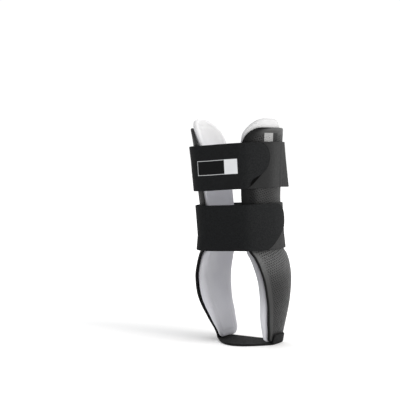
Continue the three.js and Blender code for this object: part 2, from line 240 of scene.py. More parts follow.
def shell_shape(height):
    """The shells' outer face at a height: its side reach, bend radius and middle, the angles of
    its front and back edges, and the angle where the front border curls in."""
    up = (height - SHELL_FOOT) / SHELL_HEIGHT
    reach = along(SHELL_SECTIONS, "reach", up) * SHELL_REACH
    bend = along(SHELL_SECTIONS, "bend", up) * SHELL_REACH
    middle = along(SHELL_SECTIONS, "middle", up) * SHELL_DEPTH
    front = math.asin((along(SHELL_SECTIONS, "front", up) * SHELL_DEPTH - middle) / bend)
    back = math.asin((along(SHELL_SECTIONS, "back", up) * SHELL_DEPTH - middle) / bend)
    curl = max(along(SHELL_SECTIONS, "curl", up), 0) * SHELL_DEPTH
    return Shape(reach, bend, middle, front, back, front + curl / bend)


def shape_points(shape, angle, inside):
    """Points of the shells' section at some angles, so far inside the outer face."""
    curled = np.maximum(shape.crease - angle, 0) * shape.bend / SHELL_CURL_RADIUS
    inner = np.where(curled > 0, shape.bend - SHELL_CURL_RADIUS, 0)
    turn = np.where(curled > 0, shape.crease - curled, angle)
    radius = shape.bend - inner - inside
    x = shape.reach - shape.bend + inner * math.cos(shape.crease) + radius * np.cos(turn)
    y = shape.middle + inner * math.sin(shape.crease) + radius * np.sin(turn)
    return x, y


def corner_inset(radius, distance):
    """How far a round corner has drawn an edge in, at a distance from the corner's end."""
    rise = radius - np.clip(distance, 0, radius)
    return radius - np.sqrt(np.maximum(radius**2 - rise**2, 0))


def row_heights(bottom, top, foot_corner, top_corner, steps):
    """Heights of a plate's rows, closer together round its corners."""
    foot_turns = np.linspace(0, math.pi / 2, steps[0] + 1)
    top_turns = np.linspace(0, math.pi / 2, steps[2] + 1)
    foot = bottom + foot_corner * (1 - np.cos(foot_turns))
    body = np.linspace(bottom + foot_corner, top - top_corner, steps[1] + 1)
    crown = top - top_corner * (1 - np.sin(top_turns))
    return np.concatenate([foot[:-1], body[:-1], crown])


def smooth_step(low, high, value):
    """From 0 at low to 1 at high. low may be the greater of the two."""
    t = np.clip((value - low) / (high - low), 0, 1)
    return t * t * (3 - 2 * t)


def closed_sheet(name, outer, inner, surface, rim_turns, **marks):
    """A mesh between two grids of points, with a round edge. surface holds each grid point's
    distance along and height in metres, and marks hold one number for each grid point."""
    rows, columns = outer.shape[:2]
    index = np.arange(rows * columns).reshape(rows, columns)
    edge = np.concatenate([index[0, :-1], index[:-1, -1], index[-1, :0:-1], index[:0:-1, 0]])
    flat_middle = ((outer + inner) / 2).reshape(-1, 3)[edge]
    half = (outer - inner).reshape(-1, 3)[edge] / 2
    ahead = np.roll(flat_middle, -1, axis=0) - np.roll(flat_middle, 1, axis=0)
    flat_out = np.cross(ahead, half)
    flat_out /= np.linalg.norm(flat_out, axis=1, keepdims=True)
    radius = np.linalg.norm(half, axis=1, keepdims=True)
    rings = []
    for turn in np.linspace(0, math.pi, rim_turns + 1)[1:-1]:
        rings.append(flat_middle + half * math.cos(turn) + flat_out * radius * math.sin(turn))
    count = rows * columns
    points = np.concatenate([outer.reshape(-1, 3), inner.reshape(-1, 3), *rings])
    loops = [edge]
    loops += [2 * count + k * len(edge) + np.arange(len(edge)) for k in range(len(rings))]
    loops.append(edge + count)
    a, b = index[:-1, :-1].ravel(), index[:-1, 1:].ravel()
    c, d = index[1:, 1:].ravel(), index[1:, :-1].ravel()
    faces = [np.stack([a, b, c, d], 1), np.stack([a, d, c, b], 1) + count]
    for near, far in zip(loops[:-1], loops[1:]):
        faces.append(np.stack([near, far, np.roll(far, -1), np.roll(near, -1)], 1))
    faces = np.concatenate(faces)
    mesh = bpy.data.meshes.new(name)
    mesh.from_pydata(points.tolist(), [], faces.tolist())
    mesh.polygons.foreach_set("use_smooth", np.ones(len(faces), bool))

    def for_points(grid):
        flat = grid.reshape(count, -1)
        return np.concatenate([flat, flat, *[flat[edge]] * len(rings)])

    spread = mesh.uv_layers.new(name="surface")
    corners = np.zeros(len(mesh.loops), np.int32)
    mesh.loops.foreach_get("vertex_index", corners)
    spread.data.foreach_set("uv", for_points(surface)[corners].ravel().astype(np.float32))
    for mark, grid in marks.items():
        layer = mesh.attributes.new(mark, "FLOAT", "POINT")
        layer.data.foreach_set("value", for_points(grid).ravel().astype(np.float32))
    piece = bpy.data.objects.new(name, mesh)
    bpy.context.scene.collection.objects.link(piece)
    return piece


def mirror_grid(grid):
    """The same grid on the other side of the ankle."""
    return grid[:, ::-1] * np.array([-1, 1, 1])


def column_shares(count):
    """Shares of the way from the front edge to the back one, closer together in front."""
    even = np.linspace(0, 1, count)
    return even * (1 - COLUMN_EASE * (1 - even))


def empty_grids(rows, columns):
    """A sheet's outer points, inner points and surface, to be filled in."""
    return np.zeros((rows, columns, 3)), np.zeros((rows, columns, 3)), np.zeros((rows, columns, 2))


def shell_grids(columns=84):
    """The inner shell's grids, with marks for its dimpled field, its painted edge shade and its
    painted highlights.
    """
    heights = row_heights(SHELL_FOOT, SHELL_TOP, SHELL_FOOT_CORNER, SHELL_TOP_CORNER,
                          steps=(8, 120, 22))
    outer, inner, surface = empty_grids(len(heights), columns)
    field, edge_shade, painted_highlight = np.zeros((3, len(heights), columns))
    rim = SHELL_WALL / 2
    middle_height = (SHELL_FOOT + SHELL_TOP) / 2
    shrink = 1 - rim / (SHELL_HEIGHT / 2)
    for row, full in enumerate(heights):
        height = middle_height + (full - middle_height) * shrink
        shape = shell_shape(height)
        foot = corner_inset(SHELL_FOOT_CORNER, full - SHELL_FOOT) + rim
        top = SHELL_TOP - full
        front = shape.front + (foot + corner_inset(SHELL_TOP_CORNER, top)) / shape.bend
        back = shape.back - (foot + corner_inset(SHELL_BACK_CORNER, top)) / shape.bend
        angle = front + (back - front) * column_shares(columns)
        from_front = (angle - front) * shape.bend
        from_edge = np.minimum.reduce([
            from_front, (back - angle) * shape.bend,
            np.full(columns, top), np.full(columns, full - SHELL_FOOT),
        ])
        sunk = FIELD_DEPTH * smooth_step(SHELL_BORDER - BORDER_STEP, SHELL_BORDER, from_edge)
        for grid, inside in ((outer, sunk), (inner, SHELL_WALL)):
            grid[row, :, 0], grid[row, :, 1] = shape_points(shape, angle, inside)
            grid[row, :, 2] = height
        surface[row, :, 0], surface[row, :, 1] = angle * shape.bend, height
        field[row] = smooth_step(SHELL_BORDER - BORDER_STEP, SHELL_BORDER + BORDER_FADE, from_edge)
        up = (height - SHELL_FOOT) / SHELL_HEIGHT
        dark, fade = (along(EDGE_SHADE_SECTIONS, column, up) * MILLI for column in ("dark", "fade"))
        # Painted shade along the front and back edges.
        back_shade = BACK_SHADE * smooth_step(BACK_BORDER, BACK_EDGE, (back - angle) * shape.bend)
        edge_shade[row] = np.maximum(smooth_step(dark + fade, dark, from_front), back_shade)
        # Painted highlights, over the ankle bulge and along the top edge.
        bulge_highlight = math.exp(-(((height - HIGHLIGHT_HEIGHT) / HIGHLIGHT_SPREAD) ** 2))
        edge_highlight = TOP_HIGHLIGHT * smooth_step(TOP_HIGHLIGHT_WIDTH, TOP_EDGE, top)
        edge_highlight = edge_highlight * smooth_step(TOP_HIGHLIGHT_START, TOP_HIGHLIGHT_FULL, from_front)
        painted_highlight[row] = np.maximum(bulge_highlight, edge_highlight)
    return outer, inner, surface, {"field": field, "edge_shade": edge_shade, "painted_highlight": painted_highlight}


class Finish:
    """A new material, with short ways to add and join its nodes."""

    def __init__(self, name):
        self.material = bpy.data.materials.new(name)
        self.material.use_nodes = True
        self.nodes = self.material.node_tree.nodes
        self.links = self.material.node_tree.links
        self.shader = self.nodes["Principled BSDF"]

    def put(self, value, socket):
        if isinstance(value, bpy.types.NodeSocket):
            self.links.new(value, socket)
        else:
            socket.default_value = value

    def sums(self, operation, *values):
        node = self.nodes.new("ShaderNodeMath")
        node.operation = operation
        for value, socket in zip(values, node.inputs):
            self.put(value, socket)
        return node.outputs[0]

    def mark(self, name):
        node = self.nodes.new("ShaderNodeAttribute")
        node.attribute_name = name
        return node.outputs["Fac"]

    def surface(self):
        """Distance along and height on the piece, in metres."""
        place = self.nodes.new("ShaderNodeUVMap")
        place.uv_map = "surface"
        split = self.nodes.new("ShaderNodeSeparateXYZ")
        self.links.new(place.outputs["UV"], split.inputs[0])
        return split.outputs["X"], split.outputs["Y"]

    def speckle(self, scale, detail=2.0):
        place = self.nodes.new("ShaderNodeTexCoord")
        node = self.nodes.new("ShaderNodeTexNoise")
        node.inputs["Scale"].default_value = scale
        node.inputs["Detail"].default_value = detail
        self.links.new(place.outputs["Object"], node.inputs["Vector"])
        return node.outputs["Fac"]

    def ramp(self, value, low, high, to_low, to_high):
        node = self.nodes.new("ShaderNodeMapRange")
        node.interpolation_type = "SMOOTHSTEP"
        self.put(value, node.inputs["Value"])
        node.inputs["From Min"].default_value = low
        node.inputs["From Max"].default_value = high
        node.inputs["To Min"].default_value = to_low
        node.inputs["To Max"].default_value = to_high
        return node.outputs["Result"]

    def blend(self, share, first, second):
        node = self.nodes.new("ShaderNodeMix")
        node.data_type = "RGBA"
        self.put(share, node.inputs["Factor"])
        self.put(first, node.inputs[6])
        self.put(second, node.inputs[7])
        return node.outputs[2]

    def relief(self, height, distance, strength=1.0, under=None):
        node = self.nodes.new("ShaderNodeBump")
        node.inputs["Strength"].default_value = strength
        node.inputs["Distance"].default_value = distance
        self.links.new(height, node.inputs["Height"])
        if under is not None:
            self.links.new(under, node.inputs["Normal"])
        return node.outputs["Normal"]


def grey(level, tint=0.0):
    return (level * (1 - tint), level, level * (1 + tint), 1)


def staggered_dots(finish, pitch, row_pitch, tilt, radius):
    """1 in the middle of each dot of a staggered field, falling to 0 at its edge. tilt is how
    much the field's rows rise towards the back."""
    along_face, up_face = finish.surface()
    distance = finish.sums("ADD", finish.sums("MULTIPLY", along_face, math.cos(tilt)),
                           finish.sums("MULTIPLY", up_face, math.sin(tilt)))
    height = finish.sums("SUBTRACT", finish.sums("MULTIPLY", up_face, math.cos(tilt)),
                         finish.sums("MULTIPLY", along_face, math.sin(tilt)))
    row = finish.sums("DIVIDE", height, row_pitch)
    odd = finish.sums("FLOORED_MODULO", finish.sums("FLOOR", row), 2.0)
    place = finish.sums("ADD", finish.sums("DIVIDE", distance, pitch),
                        finish.sums("MULTIPLY", odd, 0.5))
    across = finish.sums("MULTIPLY", finish.sums("SUBTRACT", finish.sums("FRACT", place), 0.5),
                         pitch)
    up = finish.sums("MULTIPLY", finish.sums("SUBTRACT", finish.sums("FRACT", row), 0.5),
                     row_pitch)
    squares = finish.sums("ADD", finish.sums("POWER", across, 2.0),
                          finish.sums("POWER", up, 2.0))
    return finish.ramp(finish.sums("SQRT", squares), radius * DIMPLE_FLAT, radius, 1.0, 0.0)


def box_mask(finish, across, up, center, half, soft=0.15 * MILLI):
    """1 within a rectangle, given across and up, and 0 outside it."""
    side = finish.sums("ABSOLUTE", finish.sums("SUBTRACT", across, center[0]))
    rise = finish.sums("ABSOLUTE", finish.sums("SUBTRACT", up, center[1]))
    past = finish.sums("MAXIMUM", finish.sums("SUBTRACT", side, half[0]),
                       finish.sums("SUBTRACT", rise, half[1]))
    return finish.ramp(past, -soft, soft, 1.0, 0.0)


def shell_finish(name, patched):
    """Dark moulded plastic. A patched shell has a small blank pad-printed patch near its top."""
    finish = Finish(name)
    dots = staggered_dots(finish, DIMPLE_PITCH, DIMPLE_ROW, DIMPLE_TILT, DIMPLE_RADIUS)
    dots = finish.sums("MULTIPLY", dots, finish.mark("field"))
    cloud = finish.ramp(finish.speckle(60), 0.35, 0.65, 0.0, 1.0)
    plain = finish.blend(cloud, grey(0.024, 0.0), grey(0.029, 0.0))
    # The smooth border is painted paler as a highlight.
    border_shading = finish.blend(finish.mark("field"), grey(0.043, 0.0), plain)
    # Painted shade in the crease between the border and the dimpled field.
    crease = finish.sums("MULTIPLY", finish.mark("field"),
                         finish.sums("SUBTRACT", 1.0, finish.mark("field")))
    border_shading = finish.blend(finish.sums("MULTIPLY", crease, CREASE_SHADE), border_shading, grey(0.012, 0.0))
    # Painted highlight with painted glints, over the ankle bulge and along the top edge.
    glints = finish.ramp(finish.speckle(700, 1.0), 0.35, 0.7, 0.55, 1.0)
    highlighted = finish.blend(finish.sums("MULTIPLY", finish.mark("painted_highlight"), glints), border_shading,
                          grey(0.105, 0.01))
    # Painted shade in the dimples.
    dimple_shaded = finish.blend(dots, highlighted, grey(0.007, 0.02))
    # Near black painted shade along the front and back edges.
    colour = finish.blend(finish.mark("edge_shade"), dimple_shaded, grey(0.005, 0.03))
    if patched:
        along_face, height = finish.surface()
        patch = box_mask(finish, along_face, height, PATCH_MIDDLE, PATCH_HALF)
        pale_middle = (PATCH_MIDDLE[0] - PATCH_HALF[0] + PATCH_PALE, PATCH_MIDDLE[1])
        pale = box_mask(finish, along_face, height, pale_middle, (PATCH_PALE, PATCH_HALF[1]))
        colour = finish.blend(patch, colour, grey(0.012, 0.02))
        colour = finish.blend(pale, colour, grey(0.27, 0.0))
    finish.put(colour, finish.shader.inputs["Base Color"])
    dull = finish.sums("MAXIMUM", finish.mark("edge_shade"), finish.sums("MULTIPLY", dots, 0.7))
    rough = finish.ramp(finish.speckle(220), 0.3, 0.7, -0.05, 0.05)
    finish.put(finish.sums("ADD", rough, finish.ramp(dull, 0.0, 1.0, 0.48, 0.85)),
               finish.shader.inputs["Roughness"])
    finish.shader.inputs["Specular IOR Level"].default_value = 0.17
    grain = finish.relief(finish.speckle(1800, 3.0), distance=0.05 * MILLI, strength=0.5)
    dip = finish.sums("SUBTRACT", 1.0, dots)
    finish.put(finish.relief(dip, DIMPLE_DEPTH, under=grain), finish.shader.inputs["Normal"])
    return finish.material


shell_outer, shell_inner, shell_surface, shell_marks = shell_grids()
outer_marks = {mark: grid[:, ::-1] for mark, grid in shell_marks.items()}
# On the outer shell the painted edge shade is paler high up.
high = smooth_step(OUTER_EDGE_SHADE_START, OUTER_EDGE_SHADE_FULL, shell_surface[:, ::-1, 1])
outer_marks["edge_shade"] = outer_marks["edge_shade"] * (1 - (1 - OUTER_EDGE_SHADE) * high)
medial_shell = closed_sheet("medial_side_shell", shell_outer, shell_inner, shell_surface,
                            rim_turns=6, **shell_marks)
lateral_shell = closed_sheet("lateral_side_shell", mirror_grid(shell_outer),
                             mirror_grid(shell_inner), shell_surface[:, ::-1],
                             rim_turns=6, **outer_marks)
medial_shell.data.materials.append(shell_finish("patched_shell_plastic", patched=True))
lateral_shell.data.materials.append(shell_finish("shell_plastic", patched=False))
for shell, node in ((medial_shell, "medial_shell"), (lateral_shell, "lateral_shell")):
    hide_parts(node)
    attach(shell, "root")

# Side pads. Each is a white foam cushion moulded to its shell, thickest over the ankle bone. Its
# soft round edge stands proud of the shell round the ankle and most of all above the top, and a
# shallow welded line runs inside that edge, on the face towards the leg.
PAD_THICKNESS = 10 * MILLI
PAD_SEAT = 0.8 * MILLI
PAD_ABOVE_SHELL = 9.5 * MILLI
PAD_PAST_EDGE = 3 * MILLI
PAD_TOP_CORNER = 36 * MILLI
PAD_BACK_CORNER = 34 * MILLI
PAD_FOOT_CORNER = 7 * MILLI
PAD_FOOT = SHELL_FOOT + 0.3 * MILLI
PAD_TOP = SHELL_TOP + PAD_ABOVE_SHELL
WELD_FROM_EDGE = 4.0 * MILLI
WELD_DEPTH = 0.6 * MILLI
WELD_WIDTH = 0.7 * MILLI
PAD_ROUND = 0.42
PAD_EDGE_THIN = 0.16
SOFT_DEPTH = 0.25 * MILLI
SOFT_ACROSS, SOFT_SLANT, SOFT_RISE = 9, 60, 95
# Heights in metres between which a pad's painted light and shade change its white.
FOOT_TONE = (0.025, 0.080)
MIDDLE_TONE = (0.12, 0.155)
TOP_TONE = (0.20, 0.235)
# up is a share of SHELL_HEIGHT, thick of PAD_THICKNESS, and past of PAD_PAST_EDGE.
PadSection = namedtuple("PadSection", "up thick past")
PAD_SECTIONS = [
    PadSection(0.00, 0.42, 1.0), PadSection(0.06, 0.70, 1.0), PadSection(0.15, 1.10, 1.0),
    PadSection(0.28, 1.07, 1.0), PadSection(0.42, 0.90, 0.8), PadSection(0.48, 0.80, -0.2),
    PadSection(0.55, 0.65, -0.4), PadSection(0.70, 0.55, -0.4), PadSection(0.84, 0.60, -0.2),
    PadSection(0.92, 0.63, 0.8), PadSection(1.04, 0.68, 1.0),
]


def pad_grids(columns=60):
    """The inner pad's grids, with its outer face towards the shell."""
    heights = row_heights(PAD_FOOT, PAD_TOP, PAD_FOOT_CORNER, PAD_TOP_CORNER, steps=(8, 90, 22))
    outer, inner, surface = empty_grids(len(heights), columns)
    middle_height, half = (PAD_FOOT + PAD_TOP) / 2, (PAD_TOP - PAD_FOOT) / 2
    for row, full in enumerate(heights):
        up = (full - SHELL_FOOT) / SHELL_HEIGHT
        thick = along(PAD_SECTIONS, "thick", up) * PAD_THICKNESS
        past = along(PAD_SECTIONS, "past", up) * PAD_PAST_EDGE
        rim = thick * PAD_ROUND
        height = middle_height + (full - middle_height) * (half - rim) / half
        shape = shell_shape(height)
        foot = corner_inset(PAD_FOOT_CORNER, full - PAD_FOOT) + rim
        top = PAD_TOP - full
        front = shape.front + (foot + corner_inset(PAD_TOP_CORNER, top) - past) / shape.bend
        back_inset = foot + corner_inset(PAD_BACK_CORNER, top) - PAD_PAST_EDGE
        back = shape.back - back_inset / shape.bend
        angle = front + (back - front) * column_shares(columns)
        from_edge = np.minimum.reduce([
            (angle - front) * shape.bend, (back - angle) * shape.bend,
            np.full(columns, top), np.full(columns, full - PAD_FOOT),
        ])
        weld = np.exp(-(((from_edge - WELD_FROM_EDGE) / WELD_WIDTH) ** 2))
        soft = SOFT_DEPTH * np.sin(angle * SOFT_ACROSS + height * SOFT_SLANT)
        soft = soft * np.cos(height * SOFT_RISE)
        thin = rim * PAD_EDGE_THIN * (1 - smooth_step(0, WELD_FROM_EDGE, from_edge))
        deep = thick - thin - WELD_DEPTH * weld + soft
        seat = SHELL_WALL + PAD_SEAT
        for grid, inside in ((outer, seat + thin), (inner, seat + deep)):
            grid[row, :, 0], grid[row, :, 1] = shape_points(shape, angle, inside)
            grid[row, :, 2] = height
        surface[row, :, 0], surface[row, :, 1] = angle * shape.bend, height
    return outer, inner, surface


def pad_finish(name, level, top_level):
    """White foam, with painted light and shade. level is how white the pad is painted by the ankle
    bone, top_level at its top.
    """
    finish = Finish(name)
    height = finish.surface()[1]
    cloud = finish.ramp(finish.speckle(45), 0.35, 0.65, 0.0, 1.0)
    plain = finish.blend(cloud, (level, level, level * 1.07, 1),
                         (level * 1.08, level * 1.08, level * 1.14, 1))
    # Painted light and shade: the white changes with height.
    foot = finish.ramp(height, *FOOT_TONE, 1.0, 0.0)
    plain = finish.blend(foot, plain, (0.66, 0.66, 0.70, 1))
    middle = finish.ramp(height, *MIDDLE_TONE, 0.0, 1.0)
    plain = finish.blend(middle, plain, (0.76, 0.76, 0.80, 1))
    top = finish.ramp(height, *TOP_TONE, 0.0, 1.0)
    plain = finish.blend(top, plain, (top_level, top_level, top_level * 1.01, 1))
    finish.put(plain, finish.shader.inputs["Base Color"])
    finish.shader.inputs["Roughness"].default_value = 0.62
    finish.shader.inputs["Specular IOR Level"].default_value = 0.3
    finish.shader.inputs["Sheen Weight"].default_value = 0.15
    nap = finish.relief(finish.speckle(2600, 3.0), distance=0.08 * MILLI, strength=0.5)
    finish.put(nap, finish.shader.inputs["Normal"])
    return finish.material


pad_outer, pad_inner, pad_surface = pad_grids()
medial_pad = closed_sheet("medial_side_pad", pad_outer, pad_inner, pad_surface, rim_turns=10)
lateral_pad = closed_sheet("lateral_side_pad", mirror_grid(pad_outer), mirror_grid(pad_inner),
                           pad_surface[:, ::-1], rim_turns=10)
# The inner pad is painted in deeper shade than the outer one.
medial_pad.data.materials.append(pad_finish("inner_pad_foam", level=0.31, top_level=0.52))
lateral_pad.data.materials.append(pad_finish("outer_pad_foam", level=0.50, top_level=0.68))
for pad, node in ((medial_pad, "medial_pad"), (lateral_pad, "lateral_pad")):
    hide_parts(node)
    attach(pad, "root")

# Wrap straps. Each is a black band of loop-pile fabric, drawn tight across the front from the
# outer shell to the inner one. It is flat between the shells, bends round their curled borders,
# and ends on the inner side in a round tongue of a second, paler fabric with hook tape below.
CLEARANCE = 0.3 * MILLI
STRAP_WIDTH = 50 * MILLI
STRAP_WALL = 1.5 * MILLI
BASE_WALL = 1.3 * MILLI
LAYER_GAP = 0.6 * MILLI
STRAP_END_CORNER = 6 * MILLI
LOOP_FRONT_SHARE, LOOP_TIGHTNESS = 0.83, 20
LOOP_BACK_SHARE, LOOP_SQUARE = 0.95, 2.05
TURN_STEP = 0.01
SHELL_SAMPLES = 61
TONGUE_SEAM = math.radians(41)
SEAM_BEFORE, SEAM_AFTER = 0.05, 0.06
# A painted shadow along the upper tongue's lower edge: how far in it reaches, and the shares of
# the width it spans.
TONGUE_SHADOW = 4.4 * MILLI
SHADOW_START, SHADOW_END = 0.06, 0.30
HOOK_EDGE = 0.15 * MILLI
LABEL_MIDDLE = -0.6 * MILLI
LABEL_HALF = (24.8 * MILLI, 7.8 * MILLI)
LABEL_INSIDE = (24.2 * MILLI, 7.2 * MILLI)
PANEL_MIDDLE = 16.4 * MILLI
PANEL_HALF = (7.8 * MILLI, 7.8 * MILLI)
SHARES = [0, 1 / 3, 2 / 3, 1]
# up is a share of the strap's width, and back a share of the tongue's run.
Tongue = namedtuple("Tongue", "up back")
TONGUE_OUTLINE = [
    Tongue(0.00, 0.93), Tongue(0.08, 0.74), Tongue(0.28, 0.40), Tongue(0.45, 0.11),
    Tongue(0.57, 0.02), Tongue(0.70, 0.00), Tongue(0.84, 0.08), Tongue(0.94, 0.24),
    Tongue(1.00, 0.42),
]
# up is a share of SHELL_HEIGHT, and width, rise, flare and run are shares of STRAP_WIDTH. The
# rest are turns in degrees, from 0 in front round the inner side to 180 behind.
Strap = namedtuple("Strap", "name up width rise flare run tip outer_end base_start base_end")
STRAPS = [
    Strap("upper", 0.8200, 0.97, 0.06, 0.136, 0.54, 72, -118, 40, 296),
    Strap("lower", 0.5425, 0.99, 0.04, 0.000, 0.76, 107, -118, 60, 296),
]
FLARE_START, FLARE_CREST, FLARE_END = 105, 118, 200


def loop_reach(turn):
    """Reach of a strap's loop in a direction, for a side reach of 1: flat across the front
    between two tight bends, and an oval behind."""
    ahead = np.abs(np.cos(turn))
    front = (1 + (ahead / LOOP_FRONT_SHARE) ** LOOP_TIGHTNESS) ** (-1 / LOOP_TIGHTNESS)
    back = np.abs(np.sin(turn)) ** LOOP_SQUARE + (ahead / LOOP_BACK_SHARE) ** LOOP_SQUARE
    back = back ** (-1 / LOOP_SQUARE)
    return np.where(np.cos(turn) > 0, front, back)


def flare_share(turn):
    """Share of a strap's flare at some turns. It starts at a crease behind the shell's side."""
    degrees = np.degrees(turn)
    rise = np.clip((degrees - FLARE_START) / (FLARE_CREST - FLARE_START), 0, 1)
    fall = np.clip((degrees - FLARE_CREST) / (FLARE_END - FLARE_CREST), 0, 1)
    return np.where(degrees < FLARE_CREST, rise, (1 + np.cos(math.pi * fall)) / 2)


def least_reach(side, height, center_x, center_y):
    """Reach of the least loop that goes round one shell at a height."""
    shape = shell_shape(height)
    x, y = shape_points(shape, np.linspace(shape.front, shape.back, SHELL_SAMPLES), 0)
    x, y = side * x - center_x, y - center_y
    return np.max(np.hypot(x, y) / loop_reach(np.arctan2(x, -y)))


def least_loop(strap, up):
    """Centre and reach of the least loop that goes round both shells at a share of the width."""
    middle_height = SHELL_FOOT + strap.up * SHELL_HEIGHT
    height = middle_height + (up - 0.5) * strap.width * STRAP_WIDTH
    center_y = shell_shape(height).middle
    high, low = height + strap.rise * STRAP_WIDTH, height - strap.rise * STRAP_WIDTH
    center_x = (least_reach(1, high, 0, center_y) - least_reach(-1, low, 0, center_y)) / 2
    inner = least_reach(1, high, center_x, center_y)
    outer = least_reach(-1, low, center_x, center_y)
    return center_x, center_y, max(inner, outer)


def band_grids(strap, shares, columns, inside, wall, start, end):
    """Outer and inner points of a band. start and end give the turns of its two ends."""
    loops = np.array([least_loop(strap, share) for share in SHARES])
    outer, inner, surface = empty_grids(len(shares), columns)
    turns = np.zeros((len(shares), columns))
    for row, share in enumerate(shares):
        center_x, center_y, reach = (np.interp(share, SHARES, loops[:, k]) for k in range(3))
        turn = np.linspace(start(share, reach), end(share, reach), columns)

        def at(angle):
            far = reach * loop_reach(angle)
            return np.stack([center_x + far * np.sin(angle), center_y - far * np.cos(angle)], 1)

        ahead = at(turn + TURN_STEP) - at(turn - TURN_STEP)
        ahead /= np.linalg.norm(ahead, axis=1, keepdims=True)
        outward = np.stack([ahead[:, 1], -ahead[:, 0]], 1)
        base = SHELL_FOOT + strap.up * SHELL_HEIGHT + (share - 0.5) * strap.width * STRAP_WIDTH
        flare = strap.flare * STRAP_WIDTH * (1 - share) * flare_share(turn)
        for grid, outside in ((outer, inside + wall), (inner, inside)):
            grid[row, :, :2] = at(turn) + outward * (outside + flare)[:, None]
            grid[row, :, 2] = base + strap.rise * STRAP_WIDTH * np.sin(turn)
        steps = np.linalg.norm(np.diff(outer[row], axis=0), axis=1)
        surface[row, :, 0] = turn[0] * reach + np.concatenate([[0], np.cumsum(steps)])
        surface[row, :, 1] = share * strap.width * STRAP_WIDTH
        turns[row] = turn
    return outer, inner, surface, turns


def edge_shares(count, rim):
    """Shares of a band's width for its rows, closer together at its two edges."""
    even = np.linspace(-1, 1, count)
    eased = 0.5 + 0.25 * np.sin(even * math.pi / 2) + 0.25 * even
    return rim / STRAP_WIDTH + eased * (1 - 2 * rim / STRAP_WIDTH)


def front_band(strap):
    """A strap's black band, with marks for its tongue, for the hook tape at the tip and for a
    painted shadow along the upper tongue's lower edge.
    """
    rim = STRAP_WALL / 2

    def start(share, reach):
        corner = min(share, 1 - share) * strap.width * STRAP_WIDTH
        inset = corner_inset(STRAP_END_CORNER, corner) + rim
        return math.radians(strap.outer_end) + inset / reach

    def end(share, reach):
        back = along(TONGUE_OUTLINE, "back", share) * strap.run * STRAP_WIDTH + rim
        return math.radians(strap.tip) - back / reach

    outer, inner, surface, turns = band_grids(
        strap, edge_shares(49, rim), columns=300, inside=CLEARANCE + BASE_WALL + LAYER_GAP,
        wall=STRAP_WALL, start=start, end=end)
    tongue = smooth_step(TONGUE_SEAM - SEAM_BEFORE, TONGUE_SEAM + SEAM_AFTER, turns)
    share = surface[:, :, 1] / (strap.width * STRAP_WIDTH)
    # A painted shadow, a dark crescent along the upper tongue's lower edge, stands in for the gap
    # under it.
    shadow_share = np.clip((share - SHADOW_START) / (SHADOW_END - SHADOW_START), 0, 1)
    shadow_reach = (TONGUE_SHADOW if strap.flare else 0) * np.sin(math.pi * shadow_share)
    from_end = surface[:, -1:, 0] - surface[:, :, 0]
    hooks = smooth_step(HOOK_EDGE, -HOOK_EDGE, from_end - shadow_reach)
    piece = closed_sheet(f"{strap.name}_wrap_strap", outer, inner, surface, rim_turns=6,
                         tongue=tongue, hooks=hooks, across=outer[:, :, 0])
    return piece


def strap_finish(labelled):
    """Black loop pile. A labelled strap has a blank box with a pale outline and a pale panel."""
    finish = Finish("loop_fabric")
    fleck = finish.ramp(finish.speckle(900, 3.0), 0.35, 0.65, 0.75, 1.25)
    plain = finish.blend(finish.mark("tongue"), grey(0.0118, 0.05), grey(0.0135, 0.04))
    # Near black at the hook tape on the tongue's tip and in the painted shadow beside it.
    plain = finish.blend(finish.mark("hooks"), plain, grey(0.0008, 0.0))
    tone = finish.nodes.new("ShaderNodeVectorMath")
    tone.operation = "SCALE"
    finish.put(plain, tone.inputs[0])
    finish.put(fleck, tone.inputs["Scale"])
    colour = tone.outputs[0]
    if labelled:
        across, height = finish.mark("across"), finish.surface()[1]
        middle = STRAPS[0].width * STRAP_WIDTH / 2
        whole = box_mask(finish, across, height, (LABEL_MIDDLE, middle), LABEL_HALF)
        inside = box_mask(finish, across, height, (LABEL_MIDDLE, middle), LABEL_INSIDE)
        panel = box_mask(finish, across, height, (PANEL_MIDDLE, middle), PANEL_HALF)
        colour = finish.blend(whole, colour, grey(0.55, 0.02))
        colour = finish.blend(inside, colour, grey(0.008, 0.05))
        colour = finish.blend(panel, colour, grey(0.72, 0.02))
    finish.put(colour, finish.shader.inputs["Base Color"])
    finish.shader.inputs["Roughness"].default_value = 0.9
    finish.shader.inputs["Specular IOR Level"].default_value = 0.06
    finish.shader.inputs["Sheen Weight"].default_value = 0.01
    pile = finish.relief(finish.speckle(1500, 3.0), distance=0.25 * MILLI, strength=0.6)
    finish.put(pile, finish.shader.inputs["Normal"])
    return finish.material


for strap in STRAPS:
    piece = front_band(strap)
    piece.data.materials.append(strap_finish(labelled=strap.name == "upper"))
    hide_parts(f"{strap.name}_strap")
    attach(piece, "root")

# Strap bases. Each is a grey woven band that starts below the tongue, goes round the back and
# ends below the black band on the outer side. The tongue's hook tape closes on it.
# Degrees before and after the tongue's tip over which the band's painted shade falls away.
TIP_SHADE_BEFORE, TIP_SHADE_AFTER = 4, 16
TIP_SHADE = 0.75
# Painted shade along a fold in the band: its turn in degrees, its width, its strength, and its
# least share at the top edge.
FOLD_TURN = 98
FOLD_WIDTH = 3.0
FOLD_SHADE = 0.7
FOLD_LEAST = 0.3
BASE_RIB = 1.1 * MILLI
BASE_PICK = 0.9 * MILLI


